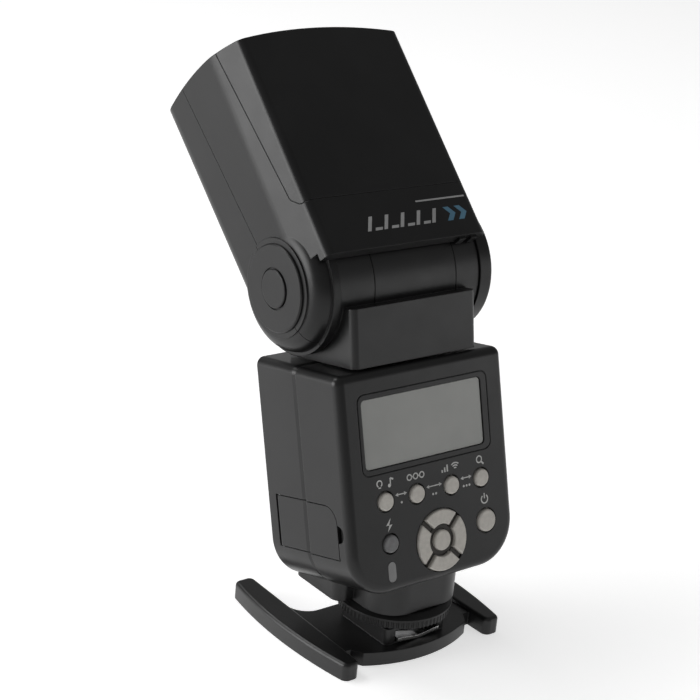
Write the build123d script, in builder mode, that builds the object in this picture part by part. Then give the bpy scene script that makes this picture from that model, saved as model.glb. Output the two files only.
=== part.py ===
"""Speedlight flash on its slide-in table stand.  Millimetres, +Z up, +Y towards the subject.

Four frames are used.  The row frame has its origin at the tripod thread under the stand.  The flash
body leans forward over its foot, the neck swivels about an axis close to the body's, and the head
tilts about a hinge across the neck.  Body, neck and head pieces are drawn upright in their own frames.
"""
from build123d import *
import os
from math import cos, radians, sin

os.makedirs("parts", exist_ok=True)

# ---------------------------------------------------------------- frames
BODY_LEAN = 16.0                    # rear panel leans forward from the foot's own upright
FOOT_AT = (0, 29.5, 16.5)           # the row origin, seen in the body frame
NECK_AT = (0, 29.3, 118.1)          # swivel axis on the body's top plane, body frame
NECK_TILT = 5.0                     # swivel axis leans back from the rear panel
HINGE_H = 26.0                      # tilt hinge above the body's top plane
HEAD_TILT = 34.0                    # head as it rests, forward of the swivel axis

ROW = Location((0, 0, 0))
BODY = Location((0, 0, 0), (-BODY_LEAN, 0, 0)) * Location((0, -FOOT_AT[1], -FOOT_AT[2]))
NECK = BODY * Location(NECK_AT, (NECK_TILT, 0, 0))
HEAD = NECK * Location((0, 0, HINGE_H), (-HEAD_TILT, 0, 0))

RUN = 0.06                          # radial running clearance of pins and shafts
GAP = 0.3                           # air between pieces that move past each other

# ---------------------------------------------------------------- table stand
SKID_OUT, SKID_END, SKID_IN = 38.0, 34.6, 27.0
SKID_FRONT, SKID_REAR, SKID_MID = 48.0, -19.0, 14.0
SKID_H, SKID_CORNER, SKID_EASE = 6.4, 2.4, 1.4
WEB_H, WEB_FRONT, WEB_REAR = 5.0, 18.0, -19.0
SHOE_FLOOR, LIP_UNDER, LIP_TOP = 5.6, 9.75, 11.0
SHOE_W, SLOT_W, SHOE_STOP = 18.9, 12.8, 9.5
SOCKET_R, SOCKET_L, INSERT_R = 3.175, 5.2, 4.4

# ---------------------------------------------------------------- hot-shoe foot and lock
FOOT_W, FOOT_L, FOOT_T, FOOT_Z = 18.6, 18.0, 2.0, 7.6
POST_R, POST_TOP = 6.1, 22.4
WHEEL_R, WHEEL_Z0, WHEEL_Z1, WHEEL_TEETH = 20.5, 12.6, 17.4, 72
WHEEL_SHOULDER, WHEEL_CHAMFER = 15.3, 1.4
CLAMP_Z0, CLAMP_T, CLAMP_W = 11.5, 0.6, 21.0
COLLAR_W, COLLAR_D, COLLAR_Z = 37.0, 34.0, 17.7
WEDGE_HW, WEDGE_Y0, WEDGE_Y1 = 25.5, 0.0, 25.5

# ---------------------------------------------------------------- body case
CASE_HW, CASE_D, CASE_SPLIT, CASE_STEP = 36.0, 46.5, 22.6, 0.7
CASE_BOTTOM, CASE_TOP, CHIN_R = 40.5, 128.0, 15.5
WALL, FRONT_WALL, EDGE_R, FRONT_R = 1.8, 2.5, 3.0, 1.2
VALLEY_D, VALLEY_W = 0.55, 3.0

LCD_X, LCD_Z, LCD_W, LCD_H = -1.0, 94.9, 51.6, 23.2
ROW_Z, ROW_X, ROW_NEAR, ROW_FAR, ROW_R = 71.7, 1.1, 7.65, 21.1, 3.05
PAD_X, PAD_Z, PAD_R, PAD_IN, PAD_SLIT, OK_R = 2.6, 53.9, 10.6, 5.6, 2.0, 3.6
POWER_X, POWER_Z, POWER_R = 23.1, 56.4, 3.9
PILOT_X, PILOT_Z, PILOT_R = -19.3, 57.3, 3.0
LIGHT_X, LIGHT_Z, LIGHT_W, LIGHT_H = -19.6, 47.7, 3.4, 7.0
KEY_PROUD, KEY_TRAVEL, KEY_LIP, KEY_AIR, PAD_AIR = 0.9, 0.7, 1.1, 0.6, 0.4
BOARD_Y, BOARD_T = 6.2, 1.6

COVER_Y0, COVER_Y1, COVER_Z0, COVER_Z1, COVER_T = 6.4, 40.95, 54.3, 72.0, 1.5
DOOR_Y0, DOOR_Z0, DOOR_Z1 = 9.0, 60.0, 97.0
COVER_CORNER, DOOR_CORNER = 6.0, 3.0
KNUCKLE_R, PIN_R, PIN_REACH = 0.95, 0.5, 1.6

CELL_R, CELL_L, CELL_PITCH, CELL_Y, CELL_Z = 7.2, 50.5, 15.2, 26.6, 78.0
BOX_IN, BOX_WALL, BOX_X0, BOX_X1 = 30.6, 1.0, -20.5, 33.2

# ---------------------------------------------------------------- neck
BLOCK_HW, BLOCK_REAR, BLOCK_FRONT, BLOCK_Z0, BLOCK_Z1 = 26.7, 27.0, 10.0, 0.7, 20.7
BARREL_R, BARREL_X0, BARREL_X1 = 22.8, -27.9, 31.9
BARREL_SEAMS = (-14.0, 21.3)
SWIVEL_R, HINGE_R, HINGE_REACH = 9.0, 4.0, 35.5

# ---------------------------------------------------------------- head
TOP_Y, TOP_HW, SIDE_HW, SHOULDER_Y = -28.0, 33.6, 36.8, -13.0
UNDER_Y0, UNDER_SLOPE, HEAD_L = 19.8, 0.05, 86.3
TOP_ROUND, SHOULDER_ROUND = 3.0, 16.0
REAR_LIP = 2.6
EAR_R, EAR_BAND_R, EAR_ROUND, EAR_GAP, EAR_RIM = 23.5, 22.3, 6.0, 0.3, 3.0
RIGHT_EAR_X, RIGHT_EAR_ROUND = 38.0, 1.5
BARREL_AIR = 0.5
BULGE_TALL, BULGE_WIDE, BULGE_Y = 110.0, 188.0, 3.0
SKIN = 2.2
BOSS_R, STEP_R, STEP_X, BOSS_T, CAP_R, CAP_T, SPIGOT_R = 15.0, 16.9, 37.4, 0.9, 6.6, 0.5, 2.7
LENS_W, LENS_H, LENS_Y, LENS_T, LENS_SET = 61.0, 37.0, 1.0, 1.8, 1.0
CARD_Y, CARD_T, PANEL_Y, PANEL_T, FLAG_W = -24.6, 0.8, -22.4, 1.4, 57.0
SCREW_X, SCREW_Y, SCREW_R = 28.5, 13.0, 1.5
REFLECTOR_R, REFLECTOR_Z, REFLECTOR_HW = 13.7, 46.0, 24.0


def finish(piece, name, place=ROW):
    """Label a finished piece, set it in its place and write it."""
    solid = piece.part.moved(place)
    solid.label = name
    export_step(solid, f"parts/{name}.step")


def depth_plane(y):
    """Sketch plane across the object at depth y: local x is X, local y is Z."""
    return Plane.XZ.offset(-y)


def side_plane(x):
    """Sketch plane along the object at width x: local x is Y, local y is Z."""
    return Plane.YZ.offset(x)


# ================================================================ table stand (row frame)
with BuildPart() as stand_base:
    with BuildSketch() as skids:
        with BuildLine():
            ThreePointArc((SKID_END, SKID_FRONT), (SKID_OUT, SKID_MID), (SKID_END, SKID_REAR))
            Polyline((SKID_END, SKID_REAR), (SKID_IN + 1.5, SKID_REAR), (SKID_IN, SKID_FRONT),
                     (SKID_END, SKID_FRONT))
        make_face()
        fillet(skids.vertices().group_by(Axis.Y)[-1] + skids.vertices().group_by(Axis.Y)[0], SKID_CORNER)
        mirror(about=Plane.YZ)
    extrude(amount=SKID_H)
    fillet(stand_base.faces().filter_by(Plane.XY).group_by(Axis.Z)[-1].edges(), SKID_EASE)
    with BuildSketch():
        with BuildLine():
            ThreePointArc((-23, -13.6), (0, WEB_REAR), (23, -13.6))
            Polyline((23, -13.6), (25.5, -9.5), (SKID_IN + 2, -9.5), (SKID_IN + 2, 27), (SKID_IN, 27))
            ThreePointArc((SKID_IN, 27), (SKID_IN - 2.2, 20.6), (SKID_IN - 8, WEB_FRONT))
            Line((SKID_IN - 8, WEB_FRONT), (8 - SKID_IN, WEB_FRONT))
            ThreePointArc((8 - SKID_IN, WEB_FRONT), (2.2 - SKID_IN, 20.6), (-SKID_IN, 27))
            Polyline((-SKID_IN, 27), (-SKID_IN - 2, 27), (-SKID_IN - 2, -9.5), (-25.5, -9.5), (-23, -13.6))
        make_face()
    extrude(amount=WEB_H)
    with BuildSketch(Plane.XY.offset(WEB_H)):
        with Locations((0, -0.5)):
            RectangleRounded(27, 26, 2)
    extrude(amount=LIP_TOP - WEB_H)
    with BuildSketch(Plane.XY.offset(SHOE_FLOOR)):
        with Locations((0, (SHOE_STOP - 20) / 2)):
            Rectangle(SHOE_W, SHOE_STOP + 20)
    extrude(amount=LIP_UNDER - SHOE_FLOOR, mode=Mode.SUBTRACT)
    with BuildSketch(Plane.XY.offset(LIP_UNDER)):
        with Locations((0, (SHOE_STOP - 20) / 2)):
            Rectangle(SLOT_W, SHOE_STOP + 20)
    extrude(amount=LIP_TOP - LIP_UNDER, mode=Mode.SUBTRACT)
    with BuildSketch():
        Circle(INSERT_R)
    extrude(amount=SOCKET_L, mode=Mode.SUBTRACT)
    with BuildSketch():
        with Locations((15.5, 2), (-15.5, 2)):
            RectangleRounded(13, 24, 2)
    extrude(amount=2.2, mode=Mode.SUBTRACT)
finish(stand_base, "stand_base")

with BuildPart() as thread_insert:
    with BuildSketch():
        Circle(INSERT_R)
        Circle(SOCKET_R, mode=Mode.SUBTRACT)
    extrude(amount=SOCKET_L)
finish(thread_insert, "stand_thread_insert")

SPRING_W, SPRING_T, SPRING_REAR, SPRING_L = 9.2, 0.7, -14.8, 13.6
SPRING_HEM, SPRING_LIP = 0.5, 1.0
with BuildPart() as leaf_spring:
    with BuildSketch(depth_plane(SPRING_REAR)):
        low, high = SHOE_FLOOR + 0.05, FOOT_Z - 0.15 - SPRING_T
        with BuildLine():
            Polyline((-SPRING_W, high), (0, low), (SPRING_W, high), (SPRING_W, high + SPRING_T),
                     (0, low + SPRING_T), (-SPRING_W, high + SPRING_T), close=True)
        make_face()
    extrude(amount=-SPRING_L)
    with BuildSketch(depth_plane(SPRING_REAR)):
        with BuildLine():
            Polyline((-SPRING_W, high - SPRING_HEM), (0, low - SPRING_HEM), (SPRING_W, high - SPRING_HEM),
                     (SPRING_W, high + SPRING_T), (0, low + SPRING_T), (-SPRING_W, high + SPRING_T), close=True)
        make_face()
    extrude(amount=-SPRING_LIP)
finish(leaf_spring, "stand_leaf_spring")

# ================================================================ foot and lock (row frame)
with BuildPart() as shoe_foot:
    with BuildSketch(Plane.XY.offset(FOOT_Z)):
        RectangleRounded(FOOT_W, FOOT_L, 1.2)
    extrude(amount=FOOT_T)
    with BuildSketch(Plane.XY.offset(FOOT_Z + FOOT_T)):
        Circle(POST_R)
    extrude(amount=POST_TOP - FOOT_Z - FOOT_T)
    with BuildSketch(Plane.XY.offset(FOOT_Z)):
        Circle(1.3)
    extrude(amount=4.0, mode=Mode.SUBTRACT)
finish(shoe_foot, "shoe_foot")

with BuildPart() as centre_contact:
    with BuildSketch(Plane.XY.offset(FOOT_Z - 0.2)):
        Circle(1.3)
    extrude(amount=4.2)
finish(centre_contact, "centre_contact")

with BuildPart() as clamp_plate:
    with BuildSketch(Plane.XY.offset(CLAMP_Z0)):
        RectangleRounded(CLAMP_W, CLAMP_W, 3)
        Circle(POST_R + RUN, mode=Mode.SUBTRACT)
    extrude(amount=CLAMP_T)
finish(clamp_plate, "clamp_plate")

with BuildPart() as lock_wheel:
    with BuildSketch(Plane.XY.offset(WHEEL_SHOULDER)):
        Circle(WHEEL_R)
    extrude(amount=WHEEL_Z1 - WHEEL_SHOULDER)
    chamfer(lock_wheel.faces().sort_by(Axis.Z)[-1].edges(), WHEEL_CHAMFER, 1.7 * WHEEL_CHAMFER)
    with BuildSketch(Plane.XY.offset(WHEEL_Z0)):
        Circle(WHEEL_R - 0.4)
        with PolarLocations(WHEEL_R - 0.3, WHEEL_TEETH):
            Circle(0.5, mode=Mode.SUBTRACT)
    extrude(amount=WHEEL_SHOULDER - WHEEL_Z0)
    with BuildSketch(Plane.XY.offset(WHEEL_Z0)):
        Circle(POST_R + RUN)
    extrude(amount=WHEEL_Z1 - WHEEL_Z0, mode=Mode.SUBTRACT)
finish(lock_wheel, "lock_wheel")


# ================================================================ body case (body frame)
def top_plane(drop):
    """The case's top plane, square to the swivel axis, lowered by a wall."""
    lean = radians(NECK_TILT)
    normal = (0, -sin(lean), cos(lean))
    origin = (0, NECK_AT[1] - drop * normal[1], NECK_AT[2] - drop * normal[2])
    return Plane(origin=origin, x_dir=(1, 0, 0), z_dir=normal)


def case_block(half_width, inset, y0, y1):
    """Block of the case outline, inset by a wall, from depth y0 to y1."""
    with BuildPart() as block:
        with BuildSketch(depth_plane(y0)) as outline:
            with Locations((0, (CASE_TOP + CASE_BOTTOM + inset) / 2)):
                Rectangle(2 * (half_width - inset), CASE_TOP - CASE_BOTTOM - inset)
            fillet(outline.vertices().group_by(Axis.Y)[0], CHIN_R - inset)
        extrude(amount=-(y1 - y0))
        split(bisect_by=top_plane(inset), keep=Keep.BOTTOM)
    return block.part


def rounded_half(half_width, y0, y1, end, end_radius):
    """One outer half of the case with its outer end's edges and top edges rounded."""
    with BuildPart() as half:
        add(case_block(half_width, 0, y0, y1))
        top_face = half.faces().sort_by(Axis.Z)[-1]
        fillet(top_face.edges().filter_by(Axis.X, reverse=True), EDGE_R)
        fillet(half.faces().sort_by(Axis.Y)[end].edges(), end_radius)
    return half.part


def front_half():
    """Front outer half: narrower than the rear one, with a shallow valley along the seam."""
    with BuildPart() as half:
        add(rounded_half(CASE_HW - CASE_STEP, CASE_SPLIT, CASE_D, -1, FRONT_R))
        seam_face = half.faces().sort_by(Axis.Y)[0]
        chamfer(seam_face.edges(), VALLEY_D, VALLEY_W, reference=seam_face)
    return half.part


def keyed_pocket(y0, y1, z0, z1, corner, sign):
    """Wall opening behind a hinged side cover, 0.3 mm larger than the cover all round."""
    with BuildPart() as pocket:
        with BuildSketch(side_plane(sign * (CASE_HW + 1))) as opening:
            with Locations(((y0 + y1) / 2, (z0 + z1) / 2)):
                Rectangle(y1 - y0 + 2 * GAP, z1 - z0 + 2 * GAP)
            fillet(opening.vertices().group_by(Axis.Y)[-1].sort_by(Axis.X)[0], corner + GAP)
        extrude(amount=-sign * (WALL + 2))
    return pocket.part


def pin_hole(sign, z0, z1):
    """Bore for a cover's hinge pin, past both ends of the opening."""
    x = sign * (CASE_HW - CASE_STEP - KNUCKLE_R)
    with BuildPart() as hole:
        with BuildSketch(Plane.XY.offset(z0 - PIN_REACH)):
            with Locations((x, COVER_Y1 - KNUCKLE_R)):
                Circle(PIN_R)
        extrude(amount=z1 - z0 + 2 * PIN_REACH)
    return hole.part


port_pocket = keyed_pocket(COVER_Y0, COVER_Y1, COVER_Z0, COVER_Z1, COVER_CORNER, -1)
door_pocket = keyed_pocket(DOOR_Y0, COVER_Y1, DOOR_Z0, DOOR_Z1, DOOR_CORNER, 1)
case_inside = case_block(CASE_HW, WALL, WALL, CASE_D - FRONT_WALL)
SCREWS = ((-30.5, 111.0), (30.5, 111.0), (-23.5, 48.0), (23.5, 48.0))
BOSS_OUT, BOSS_END = 2.8, 10.5

with BuildSketch() as boss_sketch:
    with Locations(*SCREWS):
        Circle(BOSS_OUT)
    with Locations(*[(sign * 33.0, SCREWS[0][1]) for sign in (-1, 1)]):
        Rectangle(3.4, 2.0)
    with Locations(*[(sign * 24.5, 44.6) for sign in (-1, 1)]):
        Rectangle(2.0, 3.4)
boss_profile = boss_sketch.sketch

with BuildPart() as bore_tool:
    with BuildSketch(top_plane(WALL + 1)):
        Circle(SWIVEL_R + RUN)
    extrude(amount=WALL + 2)
swivel_bore = bore_tool.part

with BuildPart() as rear_case:
    add(rounded_half(CASE_HW, 0, CASE_SPLIT, 0, EDGE_R))
    add(case_inside, mode=Mode.SUBTRACT)
    with BuildSketch(depth_plane(BOSS_END)):
        add(boss_profile)
        with Locations(*SCREWS):
            Circle(1.0, mode=Mode.SUBTRACT)
    extrude(amount=-(CASE_SPLIT - BOSS_END))
    with BuildSketch(depth_plane(-1)):
        with Locations((LCD_X, LCD_Z)):
            RectangleRounded(LCD_W + 0.4, LCD_H + 0.4, 1.7)
        with Locations(*[(ROW_X + s * d, ROW_Z) for s in (-1, 1) for d in (ROW_NEAR, ROW_FAR)]):
            Circle(ROW_R + KEY_AIR)
        with Locations((PAD_X, PAD_Z)):
            Circle(PAD_R + PAD_AIR)
        with Locations((POWER_X, POWER_Z)):
            Circle(POWER_R + KEY_AIR)
        with Locations((PILOT_X, PILOT_Z)):
            Circle(PILOT_R + KEY_AIR)
        with Locations((LIGHT_X, LIGHT_Z)):
            SlotOverall(LIGHT_H, LIGHT_W, rotation=90)
    extrude(amount=-(WALL + 1.5), mode=Mode.SUBTRACT)
    with BuildSketch(depth_plane(0)):
        with Locations((LCD_X + 0.6, LCD_Z)):
            RectangleRounded(LCD_W + 5.0, LCD_H + 4.4, 3.0)
            RectangleRounded(LCD_W + 4.2, LCD_H + 3.6, 2.6, mode=Mode.SUBTRACT)
    extrude(amount=-0.35, mode=Mode.SUBTRACT)
    add(port_pocket, mode=Mode.SUBTRACT)
    add(door_pocket, mode=Mode.SUBTRACT)
    add(swivel_bore, mode=Mode.SUBTRACT)
    with BuildSketch(side_plane(-CASE_HW - 1)):
        with Locations((COVER_Y0 - GAP, 63.0)):
            Circle(3.0)
    extrude(amount=2.2, mode=Mode.SUBTRACT)
finish(rear_case, "rear_case", BODY)

SENSE_W, SENSE_H, SENSE_Z, SENSE_T = 46.0, 36.0, 71.0, 1.4
EYE_W, EYE_H, EYE_Z = 34.0, 8.0, 57.5
with BuildPart() as front_case:
    add(front_half())
    add(case_inside, mode=Mode.SUBTRACT)
    with BuildSketch(depth_plane(CASE_SPLIT)):
        add(boss_profile)
    extrude(amount=-(CASE_D - FRONT_WALL - CASE_SPLIT))
    with BuildSketch(depth_plane(CASE_SPLIT)):
        with Locations(*SCREWS):
            Circle(1.2)
    extrude(amount=-CASE_D, mode=Mode.SUBTRACT)
    with BuildSketch(depth_plane(CASE_D - 1.6)):
        with Locations(*SCREWS):
            Circle(2.4)
    extrude(amount=-4, mode=Mode.SUBTRACT)
    with BuildSketch(depth_plane(CASE_D - SENSE_T)):
        with Locations((0, SENSE_Z)):
            RectangleRounded(SENSE_W, SENSE_H, 4)
    extrude(amount=-4, mode=Mode.SUBTRACT)
    with BuildSketch(depth_plane(CASE_D - 4)):
        with Locations((0, EYE_Z)):
            RectangleRounded(EYE_W, EYE_H, 2)
    extrude(amount=-6, mode=Mode.SUBTRACT)
    add(swivel_bore, mode=Mode.SUBTRACT)
    add(port_pocket, mode=Mode.SUBTRACT)
    add(door_pocket, mode=Mode.SUBTRACT)
    add(pin_hole(-1, COVER_Z0, COVER_Z1), mode=Mode.SUBTRACT)
    add(pin_hole(1, DOOR_Z0, DOOR_Z1), mode=Mode.SUBTRACT)
finish(front_case, "front_case", BODY)

with BuildPart() as pedestal:
    with BuildSketch(Plane.XY.offset(COLLAR_Z)):
        RectangleRounded(COLLAR_W, COLLAR_D, 11)
    extrude(amount=30)
    with BuildSketch(Plane.XY.offset(COLLAR_Z + 0.5)):
        with Locations((0, (WEDGE_Y0 + WEDGE_Y1) / 2)):
            RectangleRounded(2 * WEDGE_HW, WEDGE_Y1 - WEDGE_Y0, 4)
    extrude(amount=30)
    with BuildSketch(Plane.XY.offset(COLLAR_Z + 3)):
        RectangleRounded(COLLAR_W - 5, COLLAR_D - 5, 9)
    extrude(amount=30, mode=Mode.SUBTRACT)
    with BuildSketch(Plane.XY.offset(COLLAR_Z)):
        Circle(POST_R)
    extrude(amount=4, mode=Mode.SUBTRACT)
    add(rounded_half(CASE_HW, 0, CASE_SPLIT, 0, EDGE_R).moved(BODY), mode=Mode.SUBTRACT)
    add(rounded_half(CASE_HW - CASE_STEP, CASE_SPLIT, CASE_D, -1, FRONT_R).moved(BODY), mode=Mode.SUBTRACT)
    add(case_inside.moved(BODY), mode=Mode.SUBTRACT)
    split(bisect_by=Plane(BODY * Location((0, 0, CASE_BOTTOM + 6))), keep=Keep.BOTTOM)
finish(pedestal, "pedestal")

with BuildPart() as case_screws:
    with Locations(*[(x, CASE_D - 1.6, z) for x, z in SCREWS]):
        with Locations(Rotation(90, 0, 0)):
            Cylinder(1.0, 29.0, align=(Align.CENTER, Align.CENTER, Align.MIN))
    with Locations(*[(x, CASE_D - 0.4, z) for x, z in SCREWS]):
        with Locations(Rotation(90, 0, 0)):
            Cylinder(2.2, 1.2, align=(Align.CENTER, Align.CENTER, Align.MIN))
finish(case_screws, "case_screws", BODY)

# ---------------------------------------------------------------- front sensor
with BuildPart() as sensor_window:
    with BuildSketch(depth_plane(CASE_D - SENSE_T)):
        with Locations((0, SENSE_Z)):
            RectangleRounded(SENSE_W - 0.3, SENSE_H - 0.3, 3.85)
    extrude(amount=-(SENSE_T + 0.3))
    fillet(sensor_window.faces().sort_by(Axis.Y)[-1].edges(), 0.5)
finish(sensor_window, "sensor_window", BODY)

with BuildPart() as sensor_board:
    with BuildSketch(depth_plane(CASE_D - FRONT_WALL - 3.2)):
        with Locations((0, EYE_Z - 6)):
            Rectangle(30, 12)
    extrude(amount=-1.2)
    with BuildSketch(depth_plane(CASE_D - FRONT_WALL - 2.0)):
        with Locations((-9, EYE_Z - 2.5), (9, EYE_Z - 2.5)):
            Circle(2.4)
    extrude(amount=-1.8)
finish(sensor_board, "sensor_board", BODY)

# ---------------------------------------------------------------- display and control board
with BuildPart() as lcd_window:
    with BuildSketch(depth_plane(0.4)):
        with Locations((LCD_X, LCD_Z)):
            RectangleRounded(LCD_W, LCD_H, 1.5)
    extrude(amount=-1.4)
finish(lcd_window, "lcd_window", BODY)

with BuildPart() as lcd_module:
    with BuildSketch(depth_plane(WALL + 0.05)):
        with Locations((LCD_X, LCD_Z)):
            RectangleRounded(LCD_W + 6, LCD_H + 6, 1)
    extrude(amount=-3.6)
finish(lcd_module, "lcd_module", BODY)

row_xs = [ROW_X - ROW_FAR, ROW_X - ROW_NEAR, ROW_X + ROW_NEAR, ROW_X + ROW_FAR]
pad_mid = (PAD_IN + PAD_R) / 2
pad_keys = {"pad_up": 90, "pad_left": 180, "pad_down": 270, "pad_right": 0}
switch_spots = [(x, ROW_Z) for x in row_xs] + [(POWER_X, POWER_Z), (PILOT_X, PILOT_Z), (PAD_X, PAD_Z)]
for turn in pad_keys.values():
    switch_spots.append((PAD_X + pad_mid * cos(radians(turn)), PAD_Z + pad_mid * sin(radians(turn))))

with BuildPart() as control_board:
    with BuildSketch(depth_plane(BOARD_Y)):
        with Locations((0, 80.5)):
            Rectangle(58, 57)
        with Locations((0, 50)):
            Rectangle(40, 12)
    extrude(amount=-BOARD_T)
    with BuildSketch(depth_plane(BOARD_Y - 1.2)):
        with Locations(*switch_spots):
            Circle(1.5)
    extrude(amount=-1.2)
finish(control_board, "control_board", BODY)


def round_key(name, x, z, radius):
    """Round key: domed cap through the panel, a retaining lip behind it and a switch stem."""
    with BuildPart() as key:
        with BuildSketch(depth_plane(-KEY_PROUD)):
            with Locations((x, z)):
                Circle(radius)
        extrude(amount=-(KEY_PROUD + WALL + 0.4))
        fillet(key.edges().group_by(Axis.Y)[0], 0.7)
        with BuildSketch(depth_plane(WALL + 0.4)):
            with Locations((x, z)):
                Circle(radius + (KEY_LIP if radius != OK_R else 0.4))
        extrude(amount=-0.9)
        with BuildSketch(depth_plane(WALL + 1.3)):
            with Locations((x, z)):
                Circle(1.2)
        extrude(amount=-(BOARD_Y - 1.2 - KEY_TRAVEL - 0.1 - WALL - 1.3))
    finish(key, name, BODY)


def pad_sector(radius_in, radius_out, turn):
    """Quarter of a ring, less half a slit on each side, about the pad's centre."""
    with BuildSketch(mode=Mode.PRIVATE) as sector:
        Circle(radius_out)
        Circle(radius_in, mode=Mode.SUBTRACT)
        with Locations(Location((0, 0, 0), 45)):
            with Locations((0, 0)):
                Rectangle(60, PAD_SLIT, mode=Mode.SUBTRACT)
                Rectangle(PAD_SLIT, 60, mode=Mode.SUBTRACT)
    wanted = Vector(cos(radians(turn)), sin(radians(turn)))
    return max(sector.sketch.faces(), key=lambda face: face.center().dot(wanted))


def pad_key(name, turn):
    """One direction key of the round pad."""
    with BuildPart() as key:
        with BuildSketch(depth_plane(-KEY_PROUD)):
            with Locations((PAD_X, PAD_Z)):
                add(pad_sector(PAD_IN, PAD_R, turn))
        extrude(amount=-(KEY_PROUD + WALL + 0.4))
        fillet(key.edges().group_by(Axis.Y)[0], 0.5)
        with BuildSketch(depth_plane(WALL + 0.4)):
            with Locations((PAD_X, PAD_Z)):
                add(pad_sector(PAD_IN, PAD_R + 2 * PAD_AIR, turn))
        extrude(amount=-0.9)
        with BuildSketch(depth_plane(WALL + 1.3)):
            with Locations((PAD_X + pad_mid * cos(radians(turn)), PAD_Z + pad_mid * sin(radians(turn)))):
                Circle(1.2)
        extrude(amount=-(BOARD_Y - 1.2 - KEY_TRAVEL - 0.1 - WALL - 1.3))
    finish(key, name, BODY)


for key_name, key_x in zip(("key_sound", "key_mode", "key_group", "key_zoom"), row_xs):
    round_key(key_name, key_x, ROW_Z, ROW_R)
round_key("key_power", POWER_X, POWER_Z, POWER_R)
round_key("key_pilot", PILOT_X, PILOT_Z, PILOT_R)
round_key("key_ok", PAD_X, PAD_Z, OK_R)
for key_name, key_turn in pad_keys.items():
    pad_key(key_name, key_turn)

with BuildPart() as ready_light:
    with BuildSketch(depth_plane(-0.1)):
        with Locations((LIGHT_X, LIGHT_Z)):
            SlotOverall(LIGHT_H - 0.1, LIGHT_W - 0.1, rotation=90)
    extrude(amount=-3.0)
finish(ready_light, "ready_light", BODY)


# ---------------------------------------------------------------- side covers
def side_cover(name, sign, y0, z0, z1, corner, grip):
    """Hinged cover in the side wall: stepped plate with a knuckle at its front edge."""
    outer = sign * CASE_HW
    step = sign * (CASE_HW - CASE_STEP)
    pin_x, pin_y = sign * (CASE_HW - CASE_STEP - KNUCKLE_R), COVER_Y1 - KNUCKLE_R
    with BuildPart() as cover:
        with BuildSketch(Plane.XY.offset(z0)):
            with BuildLine():
                Polyline((outer, y0), (outer, CASE_SPLIT), (step - sign * VALLEY_D, CASE_SPLIT),
                         (step, CASE_SPLIT + VALLEY_W), (step, pin_y),
                         (step - sign * COVER_T, pin_y), (step - sign * COVER_T, y0), close=True)
            make_face()
            with Locations((pin_x, pin_y)):
                Circle(KNUCKLE_R)
        extrude(amount=z1 - z0)
        with BuildSketch(side_plane(outer + sign)):
            with Locations(((y0 + COVER_Y1) / 2, (z0 + z1) / 2)):
                Rectangle(COVER_Y1 - y0 + 4, z1 - z0 + 4)
                Rectangle(COVER_Y1 - y0, z1 - z0, mode=Mode.SUBTRACT)
            with Locations((y0 + corner / 2, z1 - corner / 2)):
                Rectangle(corner, corner)
            with Locations((y0 + corner, z1 - corner)):
                Circle(corner, mode=Mode.SUBTRACT)
        extrude(amount=-sign * 5, mode=Mode.SUBTRACT)
        with BuildSketch(Plane.XY.offset(z0)):
            with Locations((pin_x, pin_y)):
                Circle(PIN_R + RUN)
        extrude(amount=z1 - z0, mode=Mode.SUBTRACT)
        if grip:
            with BuildSketch(side_plane(outer)):
                with Locations(*[(y0 + 6.0, (z0 + z1) / 2 + 2.0 * n) for n in range(-4, 5)]):
                    Rectangle(6.0, 0.8)
            extrude(amount=-sign * 0.4, mode=Mode.SUBTRACT)
    finish(cover, name, BODY)


side_cover("port_cover", -1, COVER_Y0, COVER_Z0, COVER_Z1, COVER_CORNER, False)
side_cover("battery_door", 1, DOOR_Y0, DOOR_Z0, DOOR_Z1, DOOR_CORNER, True)

with BuildPart() as cover_pins:
    add(pin_hole(-1, COVER_Z0, COVER_Z1))
    add(pin_hole(1, DOOR_Z0, DOOR_Z1))
finish(cover_pins, "cover_pins", BODY)

PORT_X, SYNC_Y, SYNC_Z, SYNC_R, POWER_JACK_Y, POWER_JACK_Z = -31.0, 14.0, 63.0, 3.2, 28.0, 63.0
with BuildPart() as port_panel:
    with BuildSketch(side_plane(PORT_X)):
        with Locations((22.5, 63.2)):
            RectangleRounded(33, 17, 2)
        with Locations((SYNC_Y, SYNC_Z)):
            Circle(SYNC_R, mode=Mode.SUBTRACT)
        with Locations((POWER_JACK_Y, POWER_JACK_Z)):
            RectangleRounded(12, 8, 1.5, mode=Mode.SUBTRACT)
    extrude(amount=1.5)
finish(port_panel, "port_panel", BODY)

with BuildPart() as sync_socket:
    with BuildSketch(side_plane(PORT_X - 1.5)):
        with Locations((SYNC_Y, SYNC_Z)):
            Circle(SYNC_R)
            Circle(1.75, mode=Mode.SUBTRACT)
    extrude(amount=8)
    with BuildSketch(side_plane(PORT_X + 5)):
        with Locations((SYNC_Y, SYNC_Z)):
            Circle(SYNC_R)
    extrude(amount=1.5)
finish(sync_socket, "sync_socket", BODY)

with BuildPart() as power_socket:
    with BuildSketch(side_plane(PORT_X - 1)):
        with Locations((POWER_JACK_Y, POWER_JACK_Z)):
            RectangleRounded(12, 8, 1.5)
    extrude(amount=8)
    with BuildSketch(side_plane(PORT_X - 1)):
        with Locations(*[(POWER_JACK_Y + dy, POWER_JACK_Z) for dy in (-3.5, 0, 3.5)]):
            Circle(1.2)
    extrude(amount=6, mode=Mode.SUBTRACT)
finish(power_socket, "power_socket", BODY)

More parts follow.
